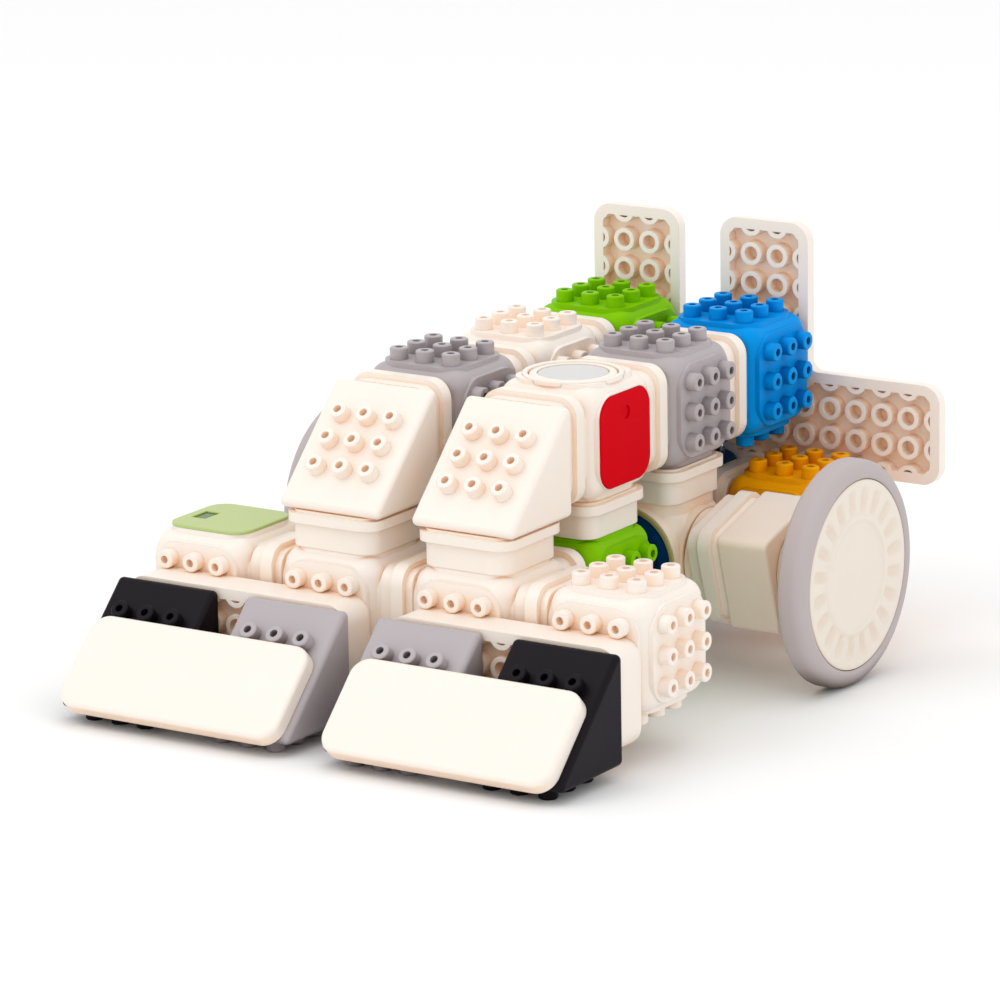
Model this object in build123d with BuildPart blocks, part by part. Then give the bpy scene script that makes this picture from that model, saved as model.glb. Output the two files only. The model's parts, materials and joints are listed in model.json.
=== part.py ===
from build123d import *

import os
from math import cos, radians, sin

# Wheeled race-car robot built from studded cube modules.
#
# The robot is laid out on a stud grid.  One grid step is the distance between two studs, and one cube
# module takes five steps.  Grid x runs to the right as the nose is looked at, grid y runs from the nose
# to the tail, and grid z runs up.  cell() turns grid places into millimetres from the wheels' axis.
# The robot stands on its tyres and on the studs under its nose, so it leans nose-down by a small angle.
# save() sets each finished piece in that stance.

# ---- driving dimensions (millimetres) ----
PITCH = 10.0                    # stud to stud
MODULE = 5 * PITCH              # cube centre to cube centre
CUBE = 38.0                     # across two opposite face panels
STUD_R = 3.0
STUD_H = 3.9
STUD_BORE_R = 1.3
STUD_BORE_DEPTH = 2.4
PANEL = 31.0                    # raised face panel of a cube
PANEL_R = 8.0
PANEL_RISE = 0.6
CUBE_EDGE_R = 6.0

TUBE_R = 4.0                    # socket tubes, they touch four studs around them
TUBE_BORE_R = 2.4
WALL = 2.0
PLATE_HALF = 16.9               # half the width of a one-module plate
PLATE_R = 6.5
PLATE_RIM = 3.6                 # border of a plate around its sockets
PLATE_T = 5.0
SOCKET_DEPTH = 4.2
BUMPER_T = 14.0

LINK_L = MODULE - CUBE - 0.1    # double socket between two cubes
LINK_HALF = 15.9
LINK_FLANGE_HALF = 17.6
LINK_R = 5.5
LINK_SOCKET = 4.4

AXLE_LIFT = 0.5                 # axle above the middle of the lower cubes
TYRE_R = 37.2
TYRE_IN_R = 31.2
TYRE_W = 9.4
HUB_R = 31.1
SHAFT_R = 3.0
FIT = 0.05                      # running fit, on the radius

NOSE_STEP = -5.2                # grid y of the front wedges
TAIL_STEP = 17.0                # grid y where the tail plates meet the cubes
X_MID = 7.5                     # grid x of the car's middle
AXLE_STEP = 10                  # grid y of the wheels' axis
AXLE_Y = 49.3                   # wheels' axis behind the middle of the whole length
LEAN = 1.326                    # degrees nose-down: the foremost studs and the tyres touch the floor
STANCE = Location((0, AXLE_Y, TYRE_R), (LEAN, 0, 0))

GRID3 = (PITCH, PITCH, 3, 3)


def cell(x, y, z):
    """Place of a grid point, in millimetres from the middle of the wheels' axis."""
    return Vector((x - X_MID) * PITCH, (y - AXLE_STEP) * PITCH, z * PITCH - AXLE_LIFT)


# ---- face planes of a cube: outward normal and the direction of the panel's own x ----
FACES = {
    "right": ((1, 0, 0), (0, 1, 0)),
    "left": ((-1, 0, 0), (0, 1, 0)),
    "back": ((0, 1, 0), (1, 0, 0)),
    "front": ((0, -1, 0), (1, 0, 0)),
    "top": ((0, 0, 1), (1, 0, 0)),
    "bottom": ((0, 0, -1), (1, 0, 0)),
}


def face_plane(centre, side, reach):
    """Plane that looks outward, reach millimetres from a centre."""
    normal, across = FACES[side]
    return Plane(origin=centre + Vector(*normal) * reach, x_dir=across, z_dir=normal)


# hollow stud on the XY plane, let 0.4 mm into its face
with BuildPart() as stud_builder:
    with BuildSketch(Plane.XY.offset(-0.4)):
        Circle(STUD_R)
    extrude(amount=STUD_H + 0.4)
    chamfer(stud_builder.edges().group_by(Axis.Z)[-1], 0.35)
    with BuildSketch(Plane.XY.offset(STUD_H)):
        Circle(STUD_BORE_R)
    extrude(amount=-STUD_BORE_DEPTH, mode=Mode.SUBTRACT)
stud = stud_builder.part


def make_cube(centre, bare=()):
    """Cube module: a rounded body with six raised panels, studs on each panel that isn't bare."""
    with BuildPart() as cube:
        with Locations(centre):
            Box(CUBE - 2 * PANEL_RISE, CUBE - 2 * PANEL_RISE, CUBE - 2 * PANEL_RISE)
        fillet(cube.edges(), CUBE_EDGE_R)
        for side in FACES:
            with BuildSketch(face_plane(centre, side, CUBE / 2)):
                RectangleRounded(PANEL, PANEL, PANEL_R)
            extrude(amount=-4, taper=-8)
        for side in FACES:
            if side not in bare:
                with Locations(face_plane(centre, side, CUBE / 2)):
                    with GridLocations(*GRID3):
                        add(stud)
    return cube


def save(builder, name):
    """Set one piece in the robot's stance, label it and write it."""
    piece = builder.part.moved(STANCE)
    piece.label = name
    export_step(piece, f"parts/{name}.step")
    return builder


def make_link(plane, flange_low, flange_high):
    """Double socket that joins two cubes: a sleeve with one flange, a socket at each end.

    The plane lies in the link's middle; the flange is placed along its normal.
    """
    with BuildPart() as link:
        with BuildSketch(plane.offset(-LINK_L / 2)):
            RectangleRounded(2 * LINK_HALF, 2 * LINK_HALF, LINK_R)
        extrude(amount=LINK_L)
        with BuildSketch(plane.offset(flange_low)):
            RectangleRounded(2 * LINK_FLANGE_HALF, 2 * LINK_FLANGE_HALF, LINK_R + 1)
        extrude(amount=flange_high - flange_low)
        for end in (-1, 1):
            with BuildSketch(plane.offset(end * LINK_L / 2)):
                RectangleRounded(2 * (LINK_HALF - WALL), 2 * (LINK_HALF - WALL), LINK_R - WALL)
                with GridLocations(PITCH, PITCH, 2, 2):
                    Circle(TUBE_R, mode=Mode.SUBTRACT)
            extrude(amount=-end * LINK_SOCKET, mode=Mode.SUBTRACT)
            with BuildSketch(plane.offset(end * LINK_L / 2)):
                with GridLocations(PITCH, PITCH, 2, 2):
                    Circle(TUBE_BORE_R)
            extrude(amount=-end * LINK_SOCKET, mode=Mode.SUBTRACT)
    return link


def outline_bar(half_long):
    """Rounded bar outline of a plate, long side on the plane's x."""
    RectangleRounded(2 * half_long, 2 * PLATE_HALF, PLATE_R)


def socket_profiles(plane, half_long, columns):
    """Profiles that hollow one side of a plate into stud sockets: around the tubes, and the tubes' bores."""
    inner = (2 * (half_long - PLATE_RIM), 2 * (PLATE_HALF - PLATE_RIM), PLATE_R - PLATE_RIM)
    with BuildSketch(plane) as hollow:
        RectangleRounded(*inner)
        with GridLocations(PITCH, PITCH, columns + 1, 4):
            Circle(TUBE_R, mode=Mode.SUBTRACT)
    with BuildSketch(plane) as bores:
        with GridLocations(PITCH, PITCH, columns + 1, 4):
            Circle(TUBE_BORE_R)
        RectangleRounded(*inner, mode=Mode.INTERSECT)
    return hollow.sketch, bores.sketch


def make_bumper(centre):
    """Thick double-sided plate between two front cubes and their wedges."""
    half_long = MODULE / 2 + PLATE_HALF
    front = face_plane(centre, "front", BUMPER_T / 2)
    back = face_plane(centre, "back", BUMPER_T / 2)
    with BuildPart() as bumper:
        with BuildSketch(front):
            outline_bar(half_long)
        extrude(amount=-BUMPER_T)
        fillet(bumper.edges().filter_by(GeomType.LINE).group_by(Axis.Y)[-1], 0.6)
        for side in (front, back):
            for profile in socket_profiles(side, half_long, 8):
                extrude(profile, amount=-LINK_SOCKET, mode=Mode.SUBTRACT)
    return bumper


def make_scoop(wedge_pair_centre):
    """Thin smooth plate on the slanted faces of a wedge pair, one stud down the slope."""
    half_long = MODULE / 2 + PLATE_HALF
    slope = Plane(origin=wedge_pair_centre, x_dir=(1, 0, 0), z_dir=(0, -1, 1))
    under = slope.shift_origin(slope.from_local_coords(Vector(0, -PITCH, 0)))
    with BuildPart() as scoop:
        with BuildSketch(under):
            outline_bar(half_long)
        extrude(amount=PLATE_T)
        fillet(scoop.faces().sort_by(Axis(under.origin, under.z_dir))[-1].edges(), 1.5)
        for profile in socket_profiles(under, half_long, 8):
            extrude(profile, amount=SOCKET_DEPTH, mode=Mode.SUBTRACT)
    return scoop


def make_wedge(centre):
    """Half-cube wedge: upright back, level bottom and a slanted front, studs on all three."""
    half = CUBE / 2
    with BuildPart() as wedge:
        with BuildSketch(face_plane(centre, "right", half)):
            Polygon((-half, -half), (half, -half), (half, half), align=None)
        extrude(amount=-CUBE)
        fillet(wedge.edges().filter_by(Axis.X), 2.0)
        fillet(wedge.faces().group_by(Axis.X)[0].edges() + wedge.faces().group_by(Axis.X)[-1].edges(), 1.8)
        with Locations(face_plane(centre, "back", half)):
            with GridLocations(*GRID3):
                add(stud)
        with Locations(face_plane(centre, "bottom", half)):
            with GridLocations(*GRID3):
                add(stud)
        with Locations(Plane(origin=centre, x_dir=(1, 0, 0), z_dir=(0, -1, 1))):
            with GridLocations(*GRID3):
                add(stud)
    return wedge


def tail_outline(toward, inset):
    """Outline of an L-shaped tail plate, set in from its edge, in the plate's own plane."""
    wide = 2 * (PLATE_HALF - inset)
    long = MODULE + wide
    with BuildSketch() as outline:
        with Locations((0, MODULE / 2)):
            RectangleRounded(wide, long, PLATE_R - inset)
        with Locations((toward * MODULE / 2, 0)):
            RectangleRounded(long, wide, PLATE_R - inset)
    return outline.sketch


def tail_tube_places(toward):
    """Places of the socket tubes in both arms of a tail plate, each place once."""
    upright = GridLocations(PITCH, PITCH, 4, 9)
    level = GridLocations(PITCH, PITCH, 9, 4)
    places = [(p.position.X, p.position.Y + MODULE / 2) for p in upright]
    places += [(p.position.X + toward * MODULE / 2, p.position.Y) for p in level]
    return sorted(set(places))


def make_tail_plate(corner, toward):
    """L-shaped plate behind the deck: one arm up, one arm out to the side that toward names."""
    rim = face_plane(corner, "front", 0)
    places = tail_tube_places(toward)
    with BuildPart() as plate:
        with BuildSketch(rim):
            add(tail_outline(toward, 0))
        extrude(amount=-PLATE_T)
        inner = corner + Vector(toward * PLATE_HALF, PLATE_T / 2, PLATE_HALF)
        fillet(plate.edges().filter_by(Axis.Y).sort_by_distance(inner)[0], 4)
        fillet(plate.faces().sort_by(Axis.Y)[-1].edges(), 1.2)
        with BuildSketch(rim):
            add(tail_outline(toward, PLATE_RIM))
            with Locations(*places):
                Circle(TUBE_R, mode=Mode.SUBTRACT)
        extrude(amount=-SOCKET_DEPTH, mode=Mode.SUBTRACT)
        with BuildSketch(rim):
            with Locations(*places):
                Circle(TUBE_BORE_R)
            add(tail_outline(toward, PLATE_RIM), mode=Mode.INTERSECT)
        extrude(amount=-SOCKET_DEPTH, mode=Mode.SUBTRACT)
    return plate


os.makedirs("parts", exist_ok=True)

# ---- cube modules ----
CUBES = {
    "cube_sensor": ((0, 0, 0), ("top", "left")),
    "cube_front_a": ((5, 0, 0), ()),
    "cube_front_b": ((10, 0, 0), ()),
    "cube_front_c": ((15, 0, 0), ()),
    "cube_deck_grey_left": ((5, 5, 5), ()),
    "cube_deck_white": ((5, 10, 5), ()),
    "cube_deck_green": ((5, 15, 5), ()),
    "cube_deck_grey_right": ((10, 10, 5), ()),
    "cube_deck_blue": ((10, 15, 5), ()),
    "cube_low_blue": ((5, 5, 0), ()),
    "cube_low_green": ((10, 5, 0), ()),
    "cube_tail_blue": ((7.5, 15, 0), ()),
    "cube_tail_orange_right": ((12.5, 15, 0), ()),
    "cube_tail_orange_left": ((2.5, 15, 0), ()),
}
for name, (place, bare) in CUBES.items():
    save(make_cube(cell(*place), bare), name)

# ---- links between the cubes: the side that each flange is nearer to, and the links' middles ----
ACROSS = (-1.2, 3.4)            # flange of a level link, from its middle
UPRIGHT = (2.0, 5.2)            # flange of an upright link, from its middle
LINKS = {
    "front_row_links": [("right", ACROSS, [(2.5, 0, 0), (7.5, 0, 0), (12.5, 0, 0)])],
    "chassis_links": [("back", ACROSS, [(5, 2.5, 0), (10, 2.5, 0)])],
    "risers": [("top", UPRIGHT, [(x, y, 2.5) for x in (5, 10) for y in (0, 5, 10)])],
    "deck_links": [("back", ACROSS, [(x, y, 5) for x in (5, 10) for y in (2.5, 7.5, 12.5)])],
    "tail_links": [("right", ACROSS, [(5, 15, 0), (10, 15, 0)]), ("back", ACROSS, [(7.5, 12.5, 0)])],
}
for name, rows in LINKS.items():
    links = []
    for side, flange, places in rows:
        links += [make_link(face_plane(cell(*place), side, 0), *flange).part for place in places]
    with BuildPart() as group:
        for link in links:
            add(link)
    save(group, name)

# ---- wedges ----
WEDGES = {
    "wedge_black_left": (0, NOSE_STEP, -1),
    "wedge_grey_left": (5, NOSE_STEP, -1),
    "wedge_grey_right": (10, NOSE_STEP, -1),
    "wedge_black_right": (15, NOSE_STEP, -1),
    "windscreen_left": (5, 0, 5),
    "windscreen_right": (10, 0, 5),
}
for name, place in WEDGES.items():
    save(make_wedge(cell(*place)), name)

# ---- bumpers, scoops and tail plates ----
BUMPER_Y = (-CUBE / 2 - BUMPER_T / 2) / PITCH
for hand, x in (("left", 2.5), ("right", 12.5)):
    save(make_bumper(cell(x, BUMPER_Y, -1)), f"bumper_{hand}")
    save(make_scoop(cell(x, NOSE_STEP, -1)), f"scoop_{hand}")
for hand, x, toward in (("left", 5, -1), ("right", 10, 1)):
    save(make_tail_plate(cell(x, TAIL_STEP, 3), toward), f"tail_plate_{hand}")

# ---- button cube: smooth top with a round button, coloured cover on its right side ----
BUTTON_R = 14.2
BUTTON_TRAVEL = 1.0
BEZEL_R = 16.4
BEZEL_RISE = 0.6
BUTTON_WELL = 6.0
COVER_HALF = 15.0
COVER_T = 1.6
button_centre = cell(10, 5, 5)
button_top = face_plane(button_centre, "top", CUBE / 2)
button_side = face_plane(button_centre, "right", CUBE / 2)
with BuildPart() as cube_button:
    add(make_cube(button_centre, ("top", "right")).part)
    with BuildSketch(button_top):
        Circle(BEZEL_R)
    extrude(amount=-1.2, mode=Mode.SUBTRACT)
    with BuildSketch(button_top):
        Circle(BUTTON_R + 0.4)
    extrude(amount=-BUTTON_WELL, mode=Mode.SUBTRACT)
    with BuildSketch(button_top.offset(-BUTTON_WELL)):
        Circle(2.6)
    extrude(amount=-8, mode=Mode.SUBTRACT)
    with BuildSketch(button_side):
        RectangleRounded(2 * COVER_HALF + 0.2, 2 * COVER_HALF + 0.2, 7.1)
    extrude(amount=-COVER_T, mode=Mode.SUBTRACT)
save(cube_button, "cube_button")

with BuildPart() as button_bezel:
    with BuildSketch(button_top.offset(-1.15)):
        Circle(BEZEL_R - 0.05)
        Circle(BUTTON_R + 0.4, mode=Mode.SUBTRACT)
    extrude(amount=1.15 + BEZEL_RISE)
    fillet(button_bezel.edges().group_by(Axis.Z)[-1], 0.5)
save(button_bezel, "button_bezel")

with BuildPart() as button_cap:
    with BuildSketch(button_top.offset(-BUTTON_WELL + 1.4)):
        Circle(BUTTON_R)
    extrude(amount=BUTTON_WELL - 1.4 + 0.2)
    fillet(button_cap.edges().group_by(Axis.Z)[-1], 0.8)
    with BuildSketch(button_top.offset(0.2)):
        Circle(11.6)
    extrude(amount=-1.2, mode=Mode.SUBTRACT)
    with BuildSketch(button_top.offset(-BUTTON_WELL + 1.4)):
        Circle(2.5)
    extrude(amount=-6)
save(button_cap, "button_cap")

with BuildPart() as button_lens:
    with BuildSketch(button_top.offset(-0.98)):
        Circle(11.55)
    extrude(amount=1.0)
    fillet(button_lens.edges().group_by(Axis.Z)[-1], 0.4)
save(button_lens, "button_lens")

with BuildPart() as cover_red:
    with BuildSketch(button_side.offset(-COVER_T + 0.05)):
        RectangleRounded(2 * COVER_HALF, 2 * COVER_HALF, 7)
    extrude(amount=COVER_T + 0.35)
    fillet(cover_red.edges().group_by(Axis.X)[-1], 0.5)
    with BuildSketch(button_side.offset(0.4)):
        with Locations((0.4, 8.2)):
            Circle(2.2)
    extrude(amount=-0.5, mode=Mode.SUBTRACT)
save(cover_red, "cover_red")

# ---- sensor cube: light cover on top with a small window ----
LABEL_HALF = 15.3
sensor_top = face_plane(cell(0, 0, 0), "top", CUBE / 2)
WINDOW = (5.4, 8.4)
WINDOW_AT = (-9.2, -0.8)
with BuildPart() as sensor_cover:
    with BuildSketch(sensor_top):
        RectangleRounded(2 * LABEL_HALF, 2 * LABEL_HALF, 6.5)
        with Locations(WINDOW_AT):
            Rectangle(*WINDOW, mode=Mode.SUBTRACT)
    extrude(amount=1.0)
    fillet(sensor_cover.edges().group_by(Axis.Z)[-1], 0.35)
save(sensor_cover, "sensor_cover")

with BuildPart() as sensor_window:
    with BuildSketch(sensor_top):
        with Locations(WINDOW_AT):
            Rectangle(WINDOW[0] - 0.1, WINDOW[1] - 0.1)
    extrude(amount=0.5)
save(sensor_window, "sensor_window")

# ---- drive module: one rounded housing in two shells, two gear motors, battery and board inside ----
DRIVE_L = MODULE + CUBE
DRIVE_R = 11.0
DRIVE_SKIN = 0.5                # panels and bosses stand this far out of the housing
CAVITY = (80.0, 30.0, 31.0)
SPLIT_Z = -5.0                  # seam of the two shells, from the housing's middle
BOSS_R = 18.4
RING_R = 17.9
DISC_R = 16.2
DISC_DEPTH = 1.6
END_BOSS_R = 16.0
drive_centre = cell(7.5, 10, 0)
lobes = {"left": cell(5, 10, 0), "right": cell(10, 10, 0)}

with BuildPart() as cavity:
    with Locations(drive_centre):
        Box(*CAVITY)
    fillet(cavity.edges(), 5)

with BuildPart() as drive_body:
    with Locations(drive_centre):
        Box(DRIVE_L - 2 * DRIVE_SKIN, CUBE - 2 * DRIVE_SKIN, CUBE - 2 * DRIVE_SKIN)
    fillet(drive_body.edges(), DRIVE_R)
    for lobe in lobes.values():
        with BuildSketch(face_plane(lobe, "front", CUBE / 2)):
            Circle(BOSS_R)
        extrude(amount=-11)
        with BuildSketch(face_plane(lobe, "top", CUBE / 2)):
            RectangleRounded(PANEL, PANEL, PANEL_R)
        extrude(amount=-7)
    with BuildSketch(face_plane(drive_centre, "back", CUBE / 2)):
        RectangleRounded(PANEL, PANEL, PANEL_R)
    extrude(amount=-7)
    for side in ("left", "right"):
        with BuildSketch(face_plane(drive_centre, side, DRIVE_L / 2)):
            Circle(END_BOSS_R)
        extrude(amount=-7)
    add(cavity.part, mode=Mode.SUBTRACT)
    for lobe in lobes.values():
        with BuildSketch(face_plane(lobe, "front", CUBE / 2)):
            Circle(RING_R + FIT)
        extrude(amount=-DISC_DEPTH, mode=Mode.SUBTRACT)
        with Locations(face_plane(lobe, "top", CUBE / 2)):
            with GridLocations(*GRID3):
                add(stud)
    with Locations(face_plane(drive_centre, "back", CUBE / 2)):
        with GridLocations(*GRID3):
            add(stud)
    with BuildSketch(face_plane(drive_centre + Vector(0, 0, AXLE_LIFT), "right", DRIVE_L / 2)):
        Circle(SHAFT_R + FIT)
    extrude(amount=-DRIVE_L, mode=Mode.SUBTRACT)

seam = Plane(drive_centre + Vector(0, 0, SPLIT_Z))
with BuildPart() as drive_housing:
    add(drive_body.part)
    split(bisect_by=seam, keep=Keep.TOP)
save(drive_housing, "drive_housing")
with BuildPart() as drive_base:
    add(drive_body.part)
    split(bisect_by=seam.offset(-0.05), keep=Keep.BOTTOM)
save(drive_base, "drive_base")

for hand, lobe in lobes.items():
    recess_floor = face_plane(lobe, "front", CUBE / 2 - DISC_DEPTH + 0.02)
    with BuildPart() as port_ring:
        with BuildSketch(recess_floor):
            Circle(RING_R)
            Circle(DISC_R + FIT, mode=Mode.SUBTRACT)
        extrude(amount=DISC_DEPTH + 0.3)
        chamfer(port_ring.edges().group_by(Axis.Y)[0], 0.25)
    save(port_ring, f"port_ring_{hand}")
    with BuildPart() as port_disc:
        with BuildSketch(recess_floor):
            Circle(DISC_R)
        extrude(amount=DISC_DEPTH - 0.2)
        with BuildSketch(recess_floor.offset(DISC_DEPTH - 0.2)):
            Circle(11.5)
            Circle(9.5, mode=Mode.SUBTRACT)
        extrude(amount=-0.6, mode=Mode.SUBTRACT)
    save(port_disc, f"port_disc_{hand}")

# gear motors lie along the axle, gearbox outwards
GEARBOX = (19.0, 20.0)          # length along the axle, width
GEARBOX_OUT = 39.6              # outer face, from the car's middle
MOTOR_R = 9.0
MOTOR_L = 16.0
SHAFT_IN = 9.0                  # how far the axle reaches into the gearbox
axle_centre = drive_centre + Vector(0, 0, AXLE_LIFT)
for hand in ("left", "right"):
    gearbox_face = face_plane(axle_centre, hand, GEARBOX_OUT)
    with BuildPart() as gearmotor:
        with BuildSketch(gearbox_face):
            RectangleRounded(GEARBOX[1], GEARBOX[1], 2)
        extrude(amount=-GEARBOX[0])
        with BuildSketch(gearbox_face.offset(-GEARBOX[0])):
            Circle(MOTOR_R)
        extrude(amount=-MOTOR_L)
        with BuildSketch(gearbox_face.offset(-GEARBOX[0] - MOTOR_L)):
            Circle(3)
        extrude(amount=-1.5)
        with BuildSketch(gearbox_face):
            Circle(SHAFT_R + FIT)
        extrude(amount=-SHAFT_IN - 0.5, mode=Mode.SUBTRACT)
    save(gearmotor, f"gearmotor_{hand}")

with BuildPart() as battery:
    with BuildSketch(Plane(drive_centre + Vector(0, 0, -15.3))):
        RectangleRounded(58, 22, 2)
    extrude(amount=5.4)
    fillet(battery.edges().filter_by(Axis.X), 1.5)
save(battery, "battery")

with BuildPart() as circuit_board:
    board_plane = Plane(drive_centre + Vector(0, 0, 11.2))
    with BuildSketch(board_plane):
        RectangleRounded(66, 22, 2)
    extrude(amount=1.4)
    with BuildSketch(board_plane.offset(1.4)):
        with Locations((-18, 0)):
            Rectangle(10, 10)
        with Locations((4, 3), (4, -5)):
            Rectangle(7, 4)
        with Locations((24, 0)):
            Rectangle(6, 14)
    extrude(amount=1.4)
save(circuit_board, "circuit_board")

# ---- wheels: output disc, link, hub block, hub, tyre and axle turn together on each side ----
DISC_FACE = DRIVE_L / 2 + 0.35 * PITCH
WHEEL_LINK_AT = DISC_FACE + 0.05 + LINK_L / 2
BLOCK_IN = WHEEL_LINK_AT + LINK_L / 2 + 0.05
BLOCK_W = 34.0
BLOCK_OUT = 78.0
BLOCK_TURN = 16.5               # degrees that the block stands turned about the axle
WHEEL_OUT = 101.0
WHEEL_IN = WHEEL_OUT - TYRE_W
HUB_BACK_R = 13.5
RIB_COUNT = 24


def wheel_plane(hand, reach, facing=1):
    """Plane across the axle, turned with the hub block; facing 1 looks outward, -1 inward."""
    normal = Vector(*FACES[hand][0])
    across = (0, cos(radians(BLOCK_TURN)), sin(radians(BLOCK_TURN)))
    return Plane(origin=axle_centre + normal * reach, x_dir=across, z_dir=normal * facing)


for hand in ("left", "right"):
    with BuildPart() as output_disc:
        with BuildSketch(wheel_plane(hand, DRIVE_L / 2 + 0.3)):
            Circle(15.2)
        extrude(amount=DISC_FACE - DRIVE_L / 2 - 0.3)
        fillet(output_disc.edges().filter_by(GeomType.CIRCLE), 0.4)
        with Locations(wheel_plane(hand, DISC_FACE)):
            with Locations((PITCH, 0), (-PITCH, 0), (0, PITCH), (0, -PITCH)):
                add(stud)
        with BuildSketch(wheel_plane(hand, DRIVE_L / 2)):
            Circle(SHAFT_R + FIT)
        extrude(amount=8, mode=Mode.SUBTRACT)
    save(output_disc, f"output_disc_{hand}")

    link_centre = wheel_plane(hand, WHEEL_LINK_AT)
    wheel_link = make_link(link_centre, *ACROSS)
    with BuildPart() as drilled_link:
        add(wheel_link.part)
        with BuildSketch(link_centre.offset(-LINK_L)):
            Circle(SHAFT_R + FIT)
        extrude(amount=2 * LINK_L, mode=Mode.SUBTRACT)
    save(drilled_link, f"wheel_link_{hand}")

    with BuildPart() as hub_block:
        with BuildSketch(wheel_plane(hand, BLOCK_IN)):
            RectangleRounded(BLOCK_W, BLOCK_W, 2.4)
        extrude(amount=BLOCK_OUT - BLOCK_IN)
        fillet(hub_block.faces().group_by(Axis.X)[0].edges() + hub_block.faces().group_by(Axis.X)[-1].edges(), 1.2)
        with Locations(wheel_plane(hand, BLOCK_IN, -1)):
            with Locations((PITCH, 0), (-PITCH, 0), (0, PITCH), (0, -PITCH)):
                add(stud)
        with BuildSketch(wheel_plane(hand, BLOCK_IN - 6)):
            Circle(SHAFT_R + FIT)
        extrude(amount=BLOCK_OUT, mode=Mode.SUBTRACT)
    save(hub_block, f"hub_block_{hand}")

    # profile of the hub across the axle: x is the distance out, y the radius
    sweep_plane = Plane(origin=axle_centre, x_dir=FACES[hand][0], z_dir=(0, -1, 0))
    spin = Axis(axle_centre, (1, 0, 0))
    with BuildPart() as hub:
        with BuildSketch(sweep_plane):
            with BuildLine():
                Polyline(
                    (BLOCK_OUT + 0.05, SHAFT_R + FIT),
                    (BLOCK_OUT + 0.05, HUB_BACK_R),
                    (WHEEL_IN + 0.5, HUB_BACK_R),
                    (WHEEL_IN + 0.5, HUB_R),
                    (WHEEL_OUT - 1.0, HUB_R),
                    (WHEEL_OUT - 0.4, HUB_R - 0.8),
                    (WHEEL_OUT - 0.4, HUB_R - 2.6),
                    (WHEEL_OUT - 1.2, HUB_R - 3.2),
                    (WHEEL_OUT - 1.2, 20.6),
                    (WHEEL_OUT - 0.6, 20.0),
                    (WHEEL_OUT - 0.6, 18.4),
                    (WHEEL_OUT - 1.0, 18.0),
                    (WHEEL_OUT - 1.4, 0),
                    (WHEEL_OUT - 4.0, 0),
                    (WHEEL_OUT - 4.0, SHAFT_R + FIT),
                    close=True,
                )
            make_face()
        revolve(axis=spin)
        with BuildSketch(face_plane(axle_centre, hand, WHEEL_OUT - 1.3)):
            with PolarLocations(23.9, RIB_COUNT):
                RectangleRounded(5.6, 1.8, 0.8)
        extrude(amount=0.8)
    save(hub, f"hub_{hand}")

    with BuildPart() as tyre:
        with BuildSketch(sweep_plane):
            with BuildLine():
                Polyline(
                    (WHEEL_IN, TYRE_IN_R),
                    (WHEEL_IN, TYRE_R - 0.8),
                    (WHEEL_IN + 0.8, TYRE_R),
                    (WHEEL_OUT - 3.4, TYRE_R),
                    (WHEEL_OUT - 2.2, TYRE_R - 0.9),
                    (WHEEL_OUT - 0.2, TYRE_IN_R + 1.0),
                    (WHEEL_OUT - 0.5, TYRE_IN_R),
                    close=True,
                )
            make_face()
        revolve(axis=spin)
    save(tyre, f"tyre_{hand}")

    with BuildPart() as axle:
        with BuildSketch(face_plane(axle_centre, hand, GEARBOX_OUT - SHAFT_IN)):
            Circle(SHAFT_R)
        extrude(amount=WHEEL_OUT - 4.1 - GEARBOX_OUT + SHAFT_IN)
        chamfer(axle.edges().filter_by(GeomType.CIRCLE), 0.4)
    save(axle, f"axle_{hand}")
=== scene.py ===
import json
import math

import bpy
from mathutils import Matrix, Vector


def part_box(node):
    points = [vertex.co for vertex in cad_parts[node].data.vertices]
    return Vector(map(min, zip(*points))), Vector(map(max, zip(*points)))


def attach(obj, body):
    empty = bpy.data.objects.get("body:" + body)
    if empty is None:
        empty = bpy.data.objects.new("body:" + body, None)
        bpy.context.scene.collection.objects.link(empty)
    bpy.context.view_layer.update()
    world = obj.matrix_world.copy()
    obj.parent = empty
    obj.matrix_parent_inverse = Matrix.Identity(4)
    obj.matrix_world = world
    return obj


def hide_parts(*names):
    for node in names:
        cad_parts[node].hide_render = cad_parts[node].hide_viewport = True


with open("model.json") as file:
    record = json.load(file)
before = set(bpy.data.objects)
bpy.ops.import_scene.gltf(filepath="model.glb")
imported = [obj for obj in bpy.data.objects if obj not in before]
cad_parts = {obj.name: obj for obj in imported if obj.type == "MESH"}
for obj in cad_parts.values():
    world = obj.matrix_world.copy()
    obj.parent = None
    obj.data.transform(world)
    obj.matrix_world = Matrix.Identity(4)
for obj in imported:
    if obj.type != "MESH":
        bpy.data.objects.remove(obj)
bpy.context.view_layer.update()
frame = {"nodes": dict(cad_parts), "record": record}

MM = 0.001
PLASTIC_IOR = 1.5
EDGE_RADIUS = 0.35 * MM
GRAIN_HEIGHT = 0.05 * MM
SCATTER_DEPTH = 2.0 * MM
CLOSED = 0.12                   # openness at which a hollow has its full painted shade


# ---- materials ----
def srgb(r, g, b):
    """Linear colour of an 8-bit screen colour."""
    def channel(v):
        v = v / 255
        return v / 12.92 if v <= 0.04045 else ((v + 0.055) / 1.055) ** 2.4
    return (channel(r), channel(g), channel(b), 1.0)


class Graph:
    """Small helper that adds nodes and links to a material."""

    def __init__(self, material):
        self.tree = material.node_tree
        self.shader = self.tree.nodes["Principled BSDF"]

    def node(self, kind, **values):
        made = self.tree.nodes.new(kind)
        for key, value in values.items():
            if key in made.inputs:
                made.inputs[key].default_value = value
            else:
                setattr(made, key, value)
        return made

    def link(self, source, output, target, into):
        self.tree.links.new(source.outputs[output], target.inputs[into])


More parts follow.
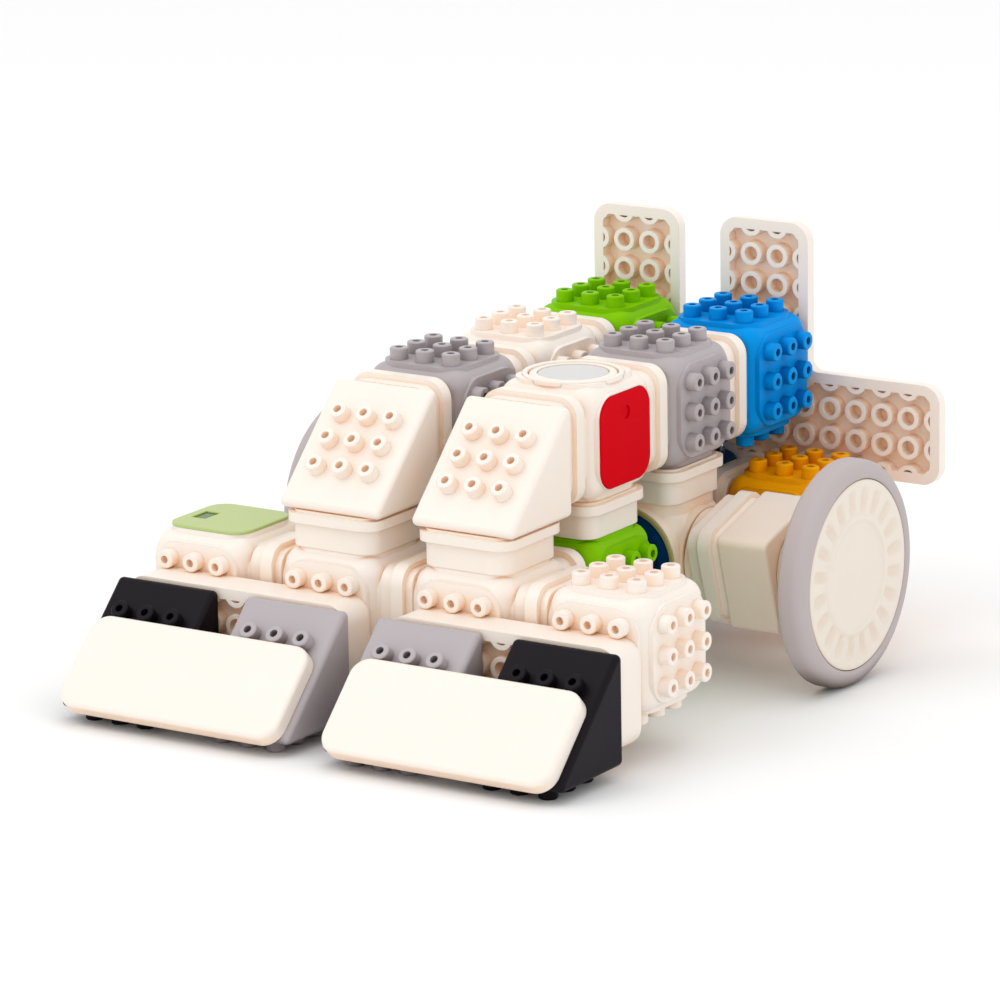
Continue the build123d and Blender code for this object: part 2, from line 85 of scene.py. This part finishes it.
def moulded(name, colour, painted_shade, rough=0.34, grain=0.10, scatter=0.0, coat=0.0,
            deep=0.6, shine=0.5, hollow_reach=18):
    """Moulded plastic: fine grain, uneven gloss, softened edges and painted shade in the hollows.

    The colour turns into the painted shade as the open part of the surroundings, seen as far as
    hollow_reach millimetres, falls from deep to CLOSED.
    """
    material = bpy.data.materials.new(name)
    material.use_nodes = True
    g = Graph(material)
    place = g.node("ShaderNodeTexCoord")
    cloud = g.node("ShaderNodeTexNoise", Scale=38.0, Detail=4.0, Roughness=0.55)
    g.link(place, "Object", cloud, "Vector")
    fine = g.node("ShaderNodeTexNoise", Scale=1900.0, Detail=3.0, Roughness=0.6)
    g.link(place, "Object", fine, "Vector")
    # painted shade: ambient occlusion mixes the painted shade colour into the base colour where the
    # surroundings are closed
    hollow = g.node("ShaderNodeAmbientOcclusion", samples=6, Distance=hollow_reach * MM)
    open_part = g.node("ShaderNodeMapRange")
    open_part.inputs["From Min"].default_value = CLOSED
    open_part.inputs["From Max"].default_value = deep
    g.link(hollow, "AO", open_part, "Value")
    painted_shade_mix = g.node("ShaderNodeMix", data_type="RGBA")
    painted_shade_mix.inputs["A"].default_value = painted_shade
    painted_shade_mix.inputs["B"].default_value = colour
    g.link(open_part, "Result", painted_shade_mix, "Factor")
    vary = g.node("ShaderNodeMapRange")
    vary.inputs["To Min"].default_value = 0.965
    vary.inputs["To Max"].default_value = 1.03
    g.link(cloud, "Fac", vary, "Value")
    bright = g.node("ShaderNodeVectorMath", operation="SCALE")
    g.link(painted_shade_mix, "Result", bright, 0)
    g.link(vary, "Result", bright, "Scale")
    g.link(bright, "Vector", g.shader, "Base Color")
    gloss = g.node("ShaderNodeMapRange")
    gloss.inputs["To Min"].default_value = rough - 0.05
    gloss.inputs["To Max"].default_value = rough + 0.07
    g.link(cloud, "Fac", gloss, "Value")
    g.link(gloss, "Result", g.shader, "Roughness")
    edge = g.node("ShaderNodeBevel", samples=4, Radius=EDGE_RADIUS)
    bump = g.node("ShaderNodeBump", Strength=grain, Distance=GRAIN_HEIGHT)
    g.link(fine, "Fac", bump, "Height")
    g.link(edge, "Normal", bump, "Normal")
    g.link(bump, "Normal", g.shader, "Normal")
    g.shader.inputs["IOR"].default_value = PLASTIC_IOR
    g.shader.inputs["Specular IOR Level"].default_value = shine
    g.shader.inputs["Coat Weight"].default_value = coat
    g.shader.inputs["Subsurface Weight"].default_value = scatter
    g.shader.inputs["Subsurface Radius"].default_value = (1.0, 0.55, 0.3)
    g.shader.inputs["Subsurface Scale"].default_value = SCATTER_DEPTH
    return material


# painted shade: the warm colour that ivory and link plastics take on in their hollows
IVORY_PAINTED_SHADE = srgb(254, 219, 187)
# each material's second colour is painted shade, mixed into its own colour where the surroundings are
# closed
materials = {
    "ivory_plastic": moulded("ivory_abs", srgb(247, 237, 227), IVORY_PAINTED_SHADE, scatter=0.08),
    "link_plastic": moulded("link_abs", srgb(247, 237, 226), IVORY_PAINTED_SHADE, scatter=0.08),
    "cream_plastic": moulded("cream_abs", srgb(244, 230, 214), srgb(248, 202, 156), scatter=0.08),
    "grey_plastic": moulded("grey_abs", srgb(180, 172, 175), srgb(112, 101, 101), shine=0.35),
    "black_plastic": moulded("black_abs", srgb(20, 15, 22), srgb(8, 6, 9), rough=0.45, shine=0.12),
    "green_plastic": moulded("green_abs", srgb(130, 199, 0), srgb(80, 142, 0), shine=0.05),
    # deep=0.75 spreads the painted shade onto the blue cubes' front faces
    "blue_plastic": moulded("blue_abs", srgb(0, 148, 230), srgb(0, 78, 142), deep=0.75, shine=0.05),
    "navy_plastic": moulded("navy_abs", srgb(0, 62, 120), srgb(0, 40, 80), shine=0.14),
    "orange_plastic": moulded("orange_abs", srgb(246, 168, 0), srgb(206, 104, 0), shine=0.06),
    "red_plastic": moulded("red_abs", srgb(213, 0, 20), srgb(168, 0, 16), rough=0.4, shine=0.02),
    "lime_plastic": moulded("lime_abs", srgb(184, 201, 130), srgb(122, 170, 34), deep=0.8, shine=0.25),
    "window_plastic": moulded("window", srgb(70, 95, 10), srgb(40, 60, 5), rough=0.15),
    "lens_plastic": moulded("lens", srgb(206, 202, 201), srgb(168, 164, 163), rough=0.16, coat=0.5),
    "olive_plastic": moulded("olive_abs", srgb(180, 166, 104), srgb(140, 125, 70)),
    # the tyre's painted shade darkens it low down, near the floor
    "tyre_rubber": moulded("tyre_rubber", srgb(188, 178, 178), srgb(104, 90, 80),
                           rough=0.62, grain=0.3, deep=0.7, shine=0.25),
    "steel": moulded("steel", srgb(190, 190, 192), srgb(150, 150, 152), rough=0.25),
    "motor_casing": moulded("motor_casing", srgb(232, 205, 80), srgb(180, 150, 50), rough=0.5),
    "battery_wrap": moulded("battery_wrap", srgb(80, 90, 100), srgb(50, 60, 66), rough=0.3),
    "board": moulded("board", srgb(20, 90, 55), srgb(10, 60, 36), rough=0.4),
}
# the hub is ivory plastic with its colour darkened as painted shade, and painted shade in its flutes
# within 4 mm
hub_painted_shade_plastic = moulded("hub_abs_painted_shade", srgb(234, 223, 210), srgb(226, 186, 152), deep=0.9, hollow_reach=4)
materials["steel"].node_tree.nodes["Principled BSDF"].inputs["Metallic"].default_value = 1.0

node_slot = {row["node"]: row["material_slot"] for row in frame["record"]["subparts"]}
for node, piece in frame["nodes"].items():
    for place in piece.material_slots:
        place.material = materials[node_slot[node]]


# ---- wheels: rounded tyres and fluted hubs, turned about the axle ----
# A profile's points are (distance out from the robot's middle, radius), in millimetres.
AXLE = (Vector(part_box("tyre_right")[0]) + Vector(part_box("tyre_right")[1])) / 2
FLUTES = 20
FLUTE_DEPTH = 1.35
FLUTE_FROM, FLUTE_TO = 20.4, 28.2
FLUTE_BAND_STEPS = 12
HUB_FACE_FROM = 99              # what lies further out belongs to the hub's outer face
TYRE_TURNS = 240
HUB_TURNS = 400
SHARP_ANGLE = math.radians(38)
TYRE_PROFILE = [
    (91.6, 31.2), (91.6, 35.9), (91.8, 36.6), (92.3, 37.05), (93.0, 37.2), (96.6, 37.2), (97.8, 37.0),
    (98.9, 36.5), (99.8, 35.6), (100.4, 34.5), (100.7, 33.4), (100.78, 32.4), (100.6, 31.6),
    (100.2, 31.2),
]
FLUTE_BAND = [
    (100.45 - 0.25 * k / FLUTE_BAND_STEPS, 28.6 - 8.4 * k / FLUTE_BAND_STEPS)
    for k in range(FLUTE_BAND_STEPS + 1)
]
HUB_PROFILE = [
    (78.05, 3.05), (78.05, 13.3), (78.2, 13.5), (92.1, 13.5), (92.1, 31.1), (99.9, 31.1),
    (100.35, 30.9), (100.58, 30.4), (100.6, 29.6), (100.5, 29.0),
    *FLUTE_BAND,
    (100.25, 19.9), (100.5, 19.5), (100.58, 19.0), (100.58, 18.2), (100.5, 17.7), (100.2, 17.3),
    (100.0, 16.6), (99.85, 14.0), (99.75, 10.0), (99.7, 5.0), (99.7, 0.05),
]


def flute(radius, angle):
    """How deep a point of the hub's face lies in one of the radial flutes, in millimetres."""
    if not FLUTE_FROM < radius < FLUTE_TO:
        return 0.0
    along = math.sin(math.pi * (radius - FLUTE_FROM) / (FLUTE_TO - FLUTE_FROM)) ** 0.45
    across = max(0.0, 0.25 - math.cos(FLUTES * angle)) / 1.25
    return FLUTE_DEPTH * along * across


def lathe(name, profile, hand, turns, relief=None, loop=False):
    """Mesh turned about the axle from a profile, with an optional relief on its outer face."""
    verts, faces = [], []
    for out, radius in profile:
        for k in range(turns):
            angle = 2 * math.pi * k / turns
            sink = relief(radius, angle) if relief and out > HUB_FACE_FROM else 0.0
            verts.append((
                hand * (out - sink) * MM,
                AXLE.y + radius * MM * math.cos(angle),
                AXLE.z + radius * MM * math.sin(angle),
            ))
    rings = len(profile)
    for i in range(rings if loop else rings - 1):
        j = (i + 1) % rings
        for k in range(turns):
            n = (k + 1) % turns
            quad = (i * turns + k, j * turns + k, j * turns + n, i * turns + n)
            faces.append(quad if hand > 0 else quad[::-1])
    if not loop:
        cap = tuple(range((rings - 1) * turns, rings * turns))
        faces.append(cap if hand > 0 else cap[::-1])
    mesh = bpy.data.meshes.new(name)
    mesh.from_pydata(verts, [], faces)
    mesh.shade_smooth()
    mesh.set_sharp_from_angle(angle=SHARP_ANGLE)
    made = bpy.data.objects.new(name, mesh)
    bpy.context.collection.objects.link(made)
    return made


for side, hand in (("left", -1), ("right", 1)):
    tyre = lathe(f"rounded_tyre_{side}", TYRE_PROFILE, hand, TYRE_TURNS, loop=True)
    hub = lathe(f"fluted_hub_{side}", HUB_PROFILE, hand, HUB_TURNS, relief=flute)
    tyre.data.materials.append(materials["tyre_rubber"])
    hub.data.materials.append(hub_painted_shade_plastic)
    pieces = ((tyre, "tyre_rubber", f"tyre_{side}"), (hub, "ivory_plastic", f"hub_{side}"))
    for made, slot, node in pieces:
        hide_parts(node)
        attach(made, f"wheel_{side}")


# ---- camera ----
CAMERA_AZIMUTH = math.radians(33.033)
CAMERA_ELEVATION = math.radians(13.154)
CAMERA_ROLL = math.radians(-0.275)
CAMERA_PLACE = Vector((0.94809, -1.46503, 0.46714))
LENS_MM = 199.97
SENSOR_MM = 36.0
VIEW_DEPTH = 50                 # metres

camera_data = bpy.data.cameras.new("camera")
camera_data.lens = LENS_MM
camera_data.sensor_width = SENSOR_MM
camera_data.clip_end = VIEW_DEPTH
camera = bpy.data.objects.new("camera", camera_data)
bpy.context.collection.objects.link(camera)
back = Vector((
    math.sin(CAMERA_AZIMUTH) * math.cos(CAMERA_ELEVATION),
    -math.cos(CAMERA_AZIMUTH) * math.cos(CAMERA_ELEVATION),
    math.sin(CAMERA_ELEVATION),
))
right = Vector((0, 0, 1)).cross(back).normalized()
up = back.cross(right)
rolled_right = right * math.cos(CAMERA_ROLL) + up * math.sin(CAMERA_ROLL)
rolled_up = up * math.cos(CAMERA_ROLL) - right * math.sin(CAMERA_ROLL)
camera.matrix_world = Matrix.Translation(CAMERA_PLACE) @ Matrix(
    (rolled_right, rolled_up, back)).transposed().to_4x4()
bpy.context.scene.camera = camera


# ---- floor and light ----
FLOOR_HALF = 6.0
FLOOR_COLOUR = (0.95, 0.95, 0.95, 1)
FLOOR_ROUGHNESS = 0.9
SKY_STRENGTH = 0.96

floor_mesh = bpy.data.meshes.new("floor")
corners = [(x * FLOOR_HALF, y * FLOOR_HALF, 0) for x, y in ((-1, -1), (1, -1), (1, 1), (-1, 1))]
floor_mesh.from_pydata(corners, [], [(0, 1, 2, 3)])
floor = bpy.data.objects.new("floor", floor_mesh)
bpy.context.collection.objects.link(floor)
floor_material = bpy.data.materials.new("floor")
floor_material.use_nodes = True
floor_shader = floor_material.node_tree.nodes["Principled BSDF"]
floor_shader.inputs["Base Color"].default_value = FLOOR_COLOUR
floor_shader.inputs["Roughness"].default_value = FLOOR_ROUGHNESS
floor_mesh.materials.append(floor_material)

world = bpy.data.worlds.new("studio")
world.use_nodes = True
sky = world.node_tree.nodes["Background"]
sky.inputs["Color"].default_value = (1, 1, 1, 1)
sky.inputs["Strength"].default_value = SKY_STRENGTH
bpy.context.scene.world = world


def softbox(name, place, aim, size, power):
    """Square area light at a place, turned to an aim point; its side in metres, its power in watts."""
    light_data = bpy.data.lights.new(name, "AREA")
    light_data.shape = "SQUARE"
    light_data.size = size
    light_data.energy = power
    light = bpy.data.objects.new(name, light_data)
    bpy.context.collection.objects.link(light)
    light.location = place
    light.rotation_euler = (Vector(aim) - Vector(place)).to_track_quat("-Z", "Y").to_euler()


softbox("key", (-0.9, -1.2, 1.7), (0, 0, 0.05), 1.2, 6.0)
softbox("fill", (1.6, -0.9, 1.0), (0, 0, 0.05), 1.4, 2)
softbox("top", (0.2, 0.5, 2.0), (0, 0, 0), 1.6, 3.5)

view = bpy.context.scene.view_settings
view.view_transform = "Standard"
view.look = "None"
